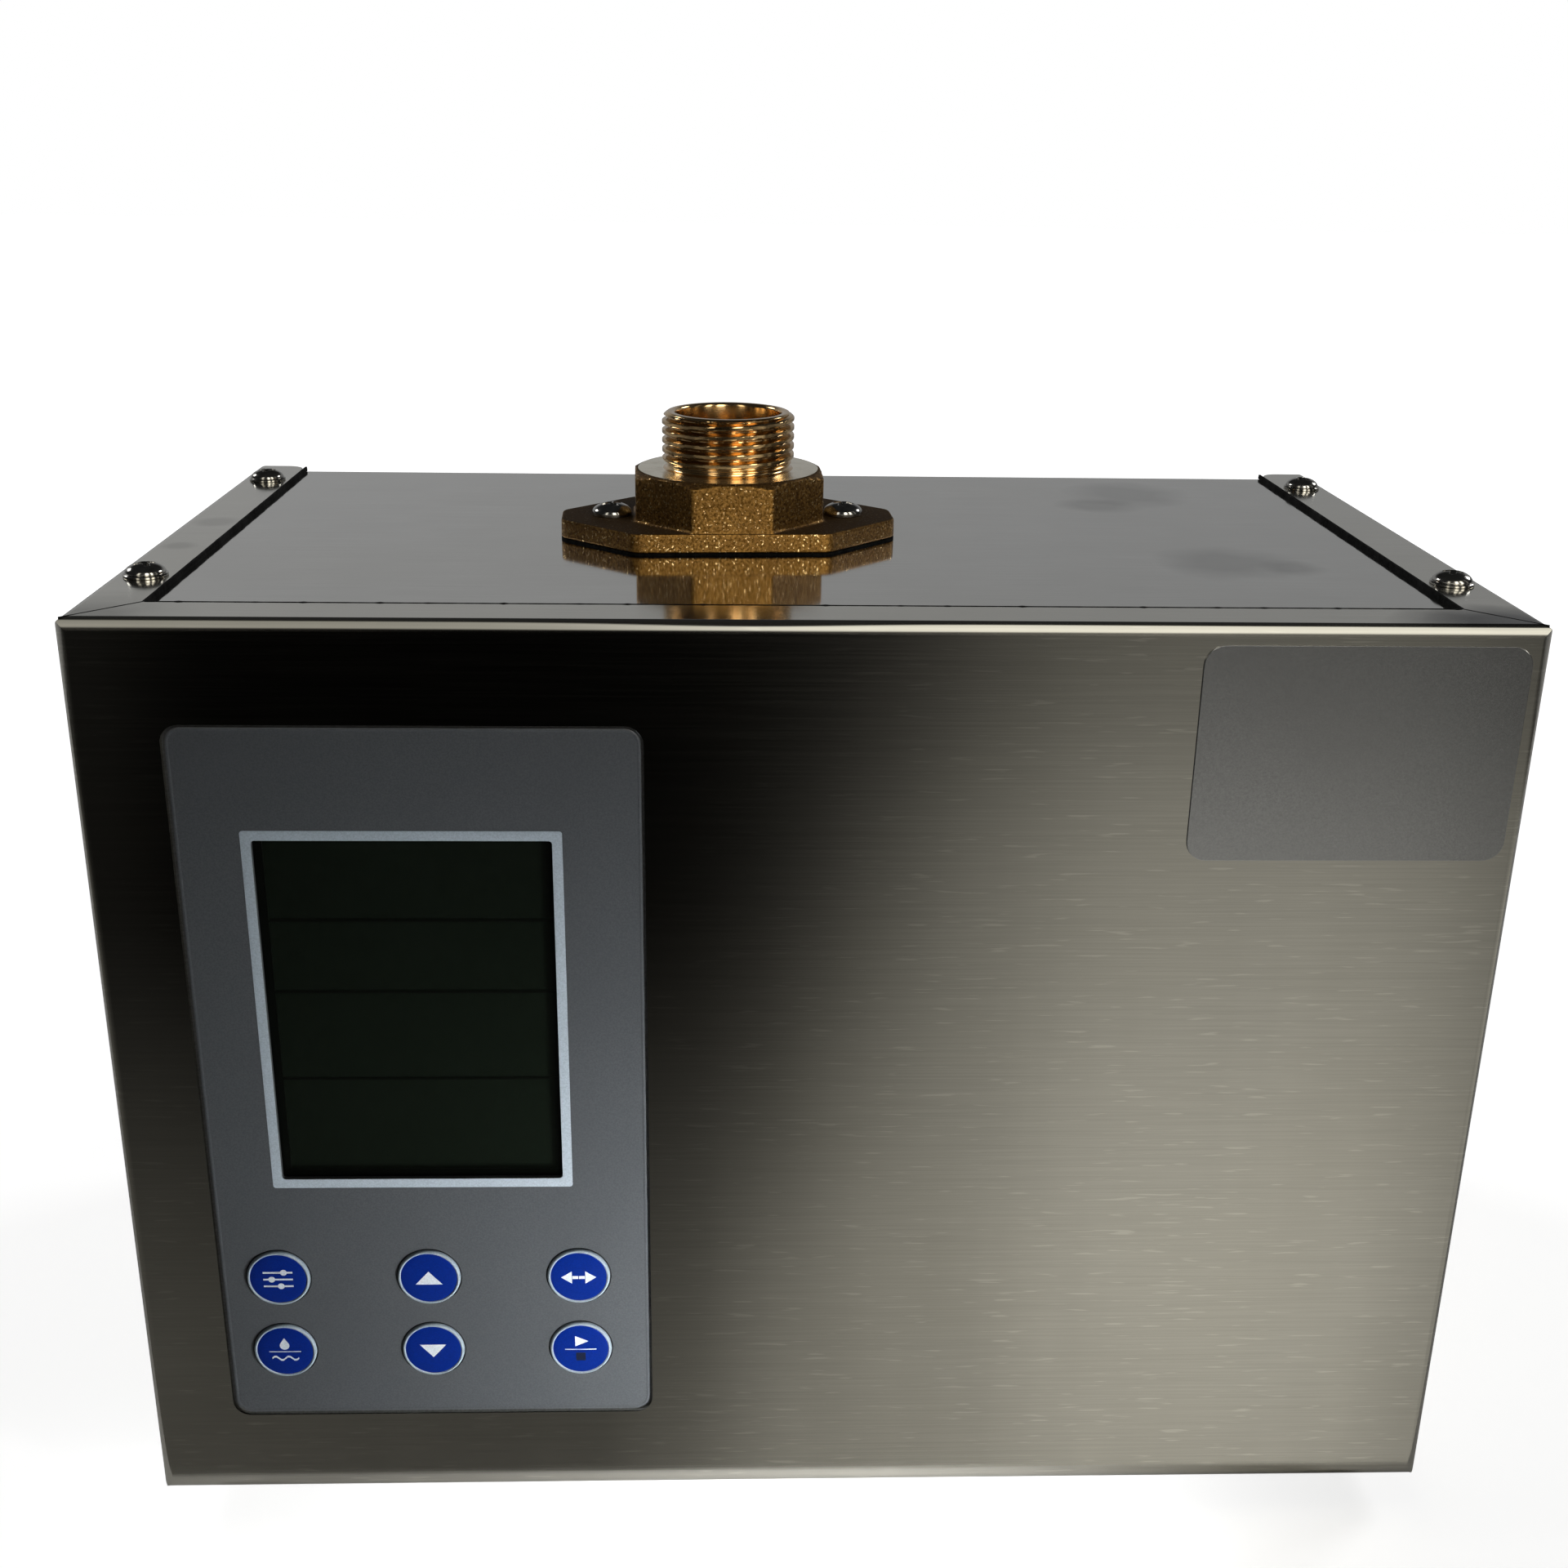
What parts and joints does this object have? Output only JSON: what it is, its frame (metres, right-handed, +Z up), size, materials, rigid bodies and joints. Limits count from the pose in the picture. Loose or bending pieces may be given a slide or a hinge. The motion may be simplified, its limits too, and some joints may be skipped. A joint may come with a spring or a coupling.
{
  "type": "boxed hot water circulation pump",
  "caption": "Hot water circulation pump in a folded stainless case, with a display and key panel, a threaded brass port on top and one on its side.",
  "frame": {"origin": "centre of the four feet, on the surface they stand on", "axes": "+X to the viewer's right, +Y from the panel to the back, +Z up"},
  "size_m": [0.3474, 0.1963, 0.2622],
  "materials": {
    "brushed_stainless": "fine horizontal brushing, semi-mirror",
    "screw_steel": "bright dark plating",
    "nut_steel": "zinc plated",
    "black_rubber": "matt",
    "cast_brass": "rough casting, machined threads",
    "plate_silver": "satin, blank",
    "housing_plastic": "moulded",
    "overlay_grey": "satin blue-grey film",
    "display_window": "clear dark window",
    "display_dark": "unlit display",
    "key_blue": "domed, in a pale ring",
    "board_green": "solder mask",
    "black_plastic": "moulded",
    "parts_mixed": "sleeved parts",
    "aluminium": "extruded",
    "block_plastic": "moulded",
    "cast_iron": "grey primer",
    "stainless_tube": "drawn and ground",
    "core_steel": "stacked sheets",
    "carbon": "pressed carbon",
    "copper": "enamelled wire",
    "motor_paint": "painted casting",
    "zinc_sheet": "zinc plated sheet",
    "valve_plastic": "moulded, with a rubber face",
    "sensor_case": "steel and plastic"
  },
  "bodies": {
    "case": {"front_cover": "brushed_stainless", "chassis": "brushed_stainless", "cover_screws": "screw_steel", "rubber_feet": "black_rubber", "foot_screws": "screw_steel", "lock_nuts": "nut_steel", "nameplate": "plate_silver", "outlet_port": "cast_brass", "outlet_gasket": "black_rubber", "outlet_screws": "screw_steel", "inlet_port": "cast_brass", "inlet_gasket": "black_rubber", "inlet_screws": "screw_steel", "panel_housing": "housing_plastic", "panel_overlay": "overlay_grey", "panel_back": "housing_plastic", "panel_nuts": "nut_steel", "lcd_window": "display_window", "lcd_module": "display_dark", "main_board": "board_green", "tact_switches": "black_plastic", "board_parts": "parts_mixed", "board_screws": "screw_steel", "power_module": "black_plastic", "heat_sink": "aluminium", "gland_body": "black_plastic", "gland_nut": "black_plastic", "gland_cap": "black_plastic", "gland_seal": "black_rubber", "terminal_block": "block_plastic", "pump_casing": "cast_iron", "wear_ring": "cast_brass", "bearing_plate": "cast_iron", "drain_plug": "cast_brass", "suction_pipe": "stainless_tube", "riser_pipe": "stainless_tube", "sealing_rings": "black_rubber", "rotor_can": "stainless_tube", "shaft_bearings": "carbon", "stator_core": "core_steel", "stator_windings": "copper", "motor_housing": "motor_paint", "motor_screws": "screw_steel", "pump_bracket": "zinc_sheet", "rubber_mounts": "black_rubber", "valve_body": "cast_brass", "valve_guide": "cast_brass", "valve_spring": "stainless_tube", "pressure_sensor": "sensor_case"},
    "rotor": {"shaft": "stainless_tube", "impeller": "cast_brass", "impeller_nut": "nut_steel", "rotor_core": "core_steel"},
    "valve": {"valve_disc": "valve_plastic"},
    "key_set_button": {"key_set": "key_blue"},
    "key_up_button": {"key_up": "key_blue"},
    "key_shift_button": {"key_shift": "key_blue"},
    "key_mode_button": {"key_mode": "key_blue"},
    "key_down_button": {"key_down": "key_blue"},
    "key_run_button": {"key_run": "key_blue"}
  },
  "joints": [
    {"name": "rotor_spin", "type": "hinge", "parent": "case", "child": "rotor", "pos_m": [0, 0.015, 0.084], "axis": [1, 0, 0], "continuous": true},
    {"name": "valve_lift", "type": "slide", "parent": "case", "child": "valve", "axis": [0, 0, 1], "range_m": [0, 0.007], "stiffness_N_per_m": 30, "springref_m": -0.005, "deforming": ["valve_spring"]},
    {"name": "key_set_press", "type": "slide", "parent": "case", "child": "key_set_button", "axis": [0, 1, 0], "range_m": [0, 0.0005], "stiffness_N_per_m": 1000, "springref_m": -0.0005},
    {"name": "key_up_press", "type": "slide", "parent": "case", "child": "key_up_button", "axis": [0, 1, 0], "range_m": [0, 0.0005], "stiffness_N_per_m": 1000, "springref_m": -0.0005},
    {"name": "key_shift_press", "type": "slide", "parent": "case", "child": "key_shift_button", "axis": [0, 1, 0], "range_m": [0, 0.0005], "stiffness_N_per_m": 1000, "springref_m": -0.0005},
    {"name": "key_mode_press", "type": "slide", "parent": "case", "child": "key_mode_button", "axis": [0, 1, 0], "range_m": [0, 0.0005], "stiffness_N_per_m": 1000, "springref_m": -0.0005},
    {"name": "key_down_press", "type": "slide", "parent": "case", "child": "key_down_button", "axis": [0, 1, 0], "range_m": [0, 0.0005], "stiffness_N_per_m": 1000, "springref_m": -0.0005},
    {"name": "key_run_press", "type": "slide", "parent": "case", "child": "key_run_button", "axis": [0, 1, 0], "range_m": [0, 0.0005], "stiffness_N_per_m": 1000, "springref_m": -0.0005}
  ]
}
